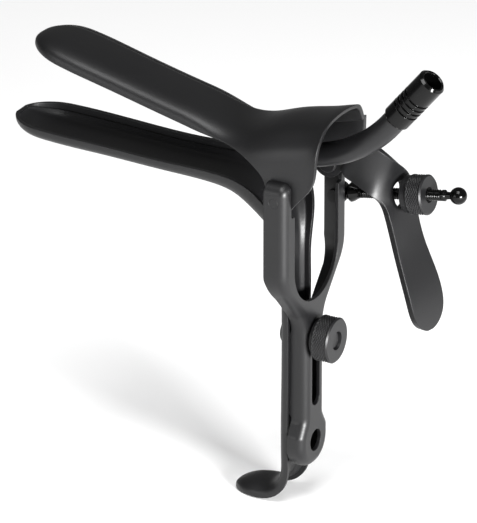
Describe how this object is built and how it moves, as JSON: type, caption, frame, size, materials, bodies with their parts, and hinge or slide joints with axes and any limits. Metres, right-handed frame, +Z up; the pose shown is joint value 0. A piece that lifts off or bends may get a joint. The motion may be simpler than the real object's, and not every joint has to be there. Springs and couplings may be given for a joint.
{
  "type": "bivalve speculum",
  "caption": "Two-bladed speculum in matt black coated steel, with a forked sliding yoke, thumb lever, screw stops and a smoke tube.",
  "frame": {"origin": "centre of the round hole at the foot of the yoke, on the face that the operator sees", "axes": "+X towards the operator, away from the blades; +Z up along the handle towards the blade hinge; +Y towards the thumb lever"},
  "size_m": [0.1551, 0.0546, 0.1609],
  "materials": {
    "coated_sheet": "matt black non-reflective coating on formed steel sheet",
    "coated_tube": "satin black coated steel tube",
    "coated_turned": "satin black coated turned steel",
    "gloss_black": "glossy black finish on turned steel"
  },
  "bodies": {
    "handle": {"lower_blade": "coated_sheet", "clamp_stud": "coated_turned"},
    "clamp_nut_body": {"clamp_nut": "coated_turned"},
    "yoke_body": {"yoke": "coated_sheet", "hinge_rivet_near": "coated_sheet", "hinge_rivet_far": "coated_sheet", "rod_pivot": "coated_turned"},
    "upper_blade_body": {"upper_blade": "coated_sheet", "smoke_tube": "coated_tube", "hose_fitting": "gloss_black"},
    "rod_body": {"opening_rod": "gloss_black", "rod_ball": "gloss_black"},
    "opening_nut_body": {"opening_nut": "coated_turned"}
  },
  "joints": [
    {"name": "yoke_slide", "type": "slide", "parent": "handle", "child": "yoke_body", "axis": [0, 0, 1], "range_m": [0, 0.0215]},
    {"name": "clamp_nut_turn", "type": "hinge", "parent": "handle", "child": "clamp_nut_body", "pos_m": [0.003, 0, 0.0376], "axis": [1, 0, 0], "continuous": true},
    {"name": "blade_hinge", "type": "hinge", "parent": "yoke_body", "child": "upper_blade_body", "pos_m": [-0.0044, 0, 0.0925], "axis": [0, 1, 0], "range_deg": [-15, 20]},
    {"name": "rod_swing", "type": "hinge", "parent": "yoke_body", "child": "rod_body", "pos_m": [-0.0044, 0.0245, 0.079], "axis": [0, 1, 0], "range_deg": [-14.2, 19]},
    {"name": "nut_travel", "type": "slide", "parent": "rod_body", "child": "opening_nut_body", "axis": [0.9863, 0, 0.165], "range_m": [-0.0048, 0.0038]}
  ],
  "couplings": [
    {"joint": "rod_swing", "follows": "blade_hinge", "ratio": 0.94},
    {"joint": "nut_travel", "follows": "blade_hinge", "m_per_rad": -0.01324}
  ]
}
